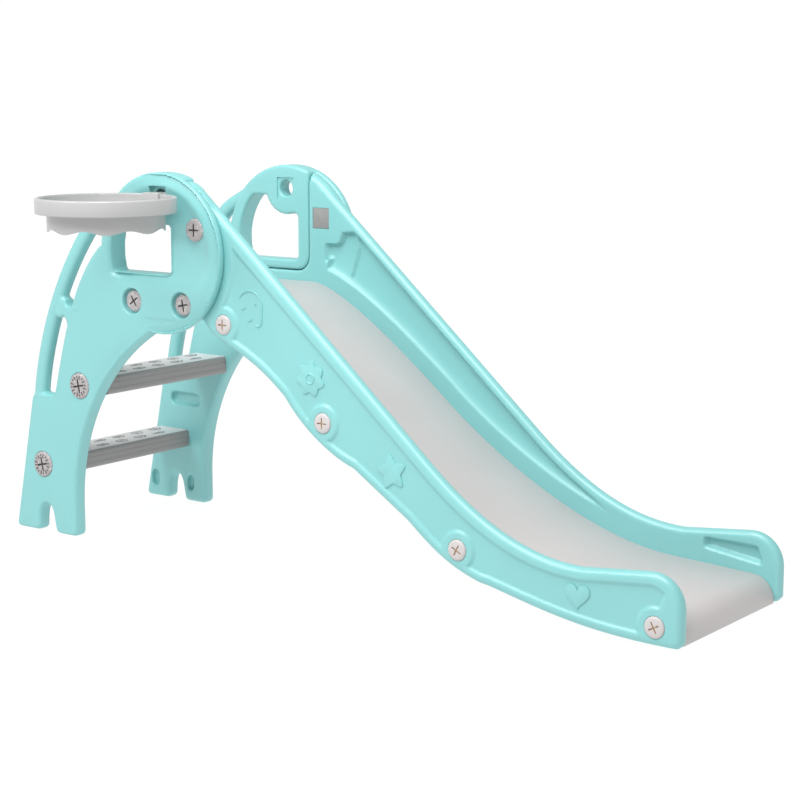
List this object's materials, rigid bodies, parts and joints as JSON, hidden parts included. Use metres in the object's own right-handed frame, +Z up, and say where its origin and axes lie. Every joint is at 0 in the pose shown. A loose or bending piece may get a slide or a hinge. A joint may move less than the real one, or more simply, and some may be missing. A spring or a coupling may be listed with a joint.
{
  "type": "toddler slide",
  "caption": "Free-standing straight toddler slide with arched ladder sides, round heads with handle windows, grey chute and steps, and a removable ball hoop.",
  "frame": {"origin": "centre of the bounding box on the floor; the slide's middle plane lies at Y = +0.12125 m because the hoop stands out on the -Y side", "axes": "+X down the slide, +Y to the climber's left, +Z up"},
  "size_m": [1.432, 0.6384, 0.688],
  "materials": {
    "aqua_plastic": "satin blow-moulded polyethylene",
    "bed_plastic": "smooth satin light grey",
    "step_plastic": "satin mid grey with embossed treads",
    "hoop_plastic": "glossy light grey",
    "screw_plastic": "satin warm grey",
    "rail_screw_plastic": "satin off-white"
  },
  "bodies": {
    "slide": {"right_ladder_panel": "aqua_plastic", "left_ladder_panel": "aqua_plastic", "right_slide_rail": "aqua_plastic", "left_slide_rail": "aqua_plastic", "slide_bed": "bed_plastic", "lower_step": "step_plastic", "upper_step": "step_plastic", "right_lower_step_screw": "screw_plastic", "right_upper_step_screw": "screw_plastic", "left_lower_step_screw": "screw_plastic", "left_upper_step_screw": "screw_plastic", "right_upper_panel_screw": "screw_plastic", "left_upper_panel_screw": "screw_plastic", "right_lower_panel_screws": "screw_plastic", "left_lower_panel_screws": "screw_plastic", "right_panel_nut": "step_plastic", "left_panel_nut": "step_plastic", "right_top_rail_screw": "rail_screw_plastic", "right_upper_rail_screw": "rail_screw_plastic", "right_lower_rail_screw": "rail_screw_plastic", "right_front_rail_screw": "rail_screw_plastic", "left_top_rail_screw": "rail_screw_plastic", "left_upper_rail_screw": "rail_screw_plastic", "left_lower_rail_screw": "rail_screw_plastic", "left_front_rail_screw": "rail_screw_plastic"},
    "hoop": {"hoop_ring": "hoop_plastic", "hoop_bracket": "hoop_plastic"}
  },
  "joints": [
    {"name": "hoop_pull", "type": "slide", "parent": "slide", "child": "hoop", "axis": [0, -1, 0], "range_m": [0, 0.06]}
  ]
}
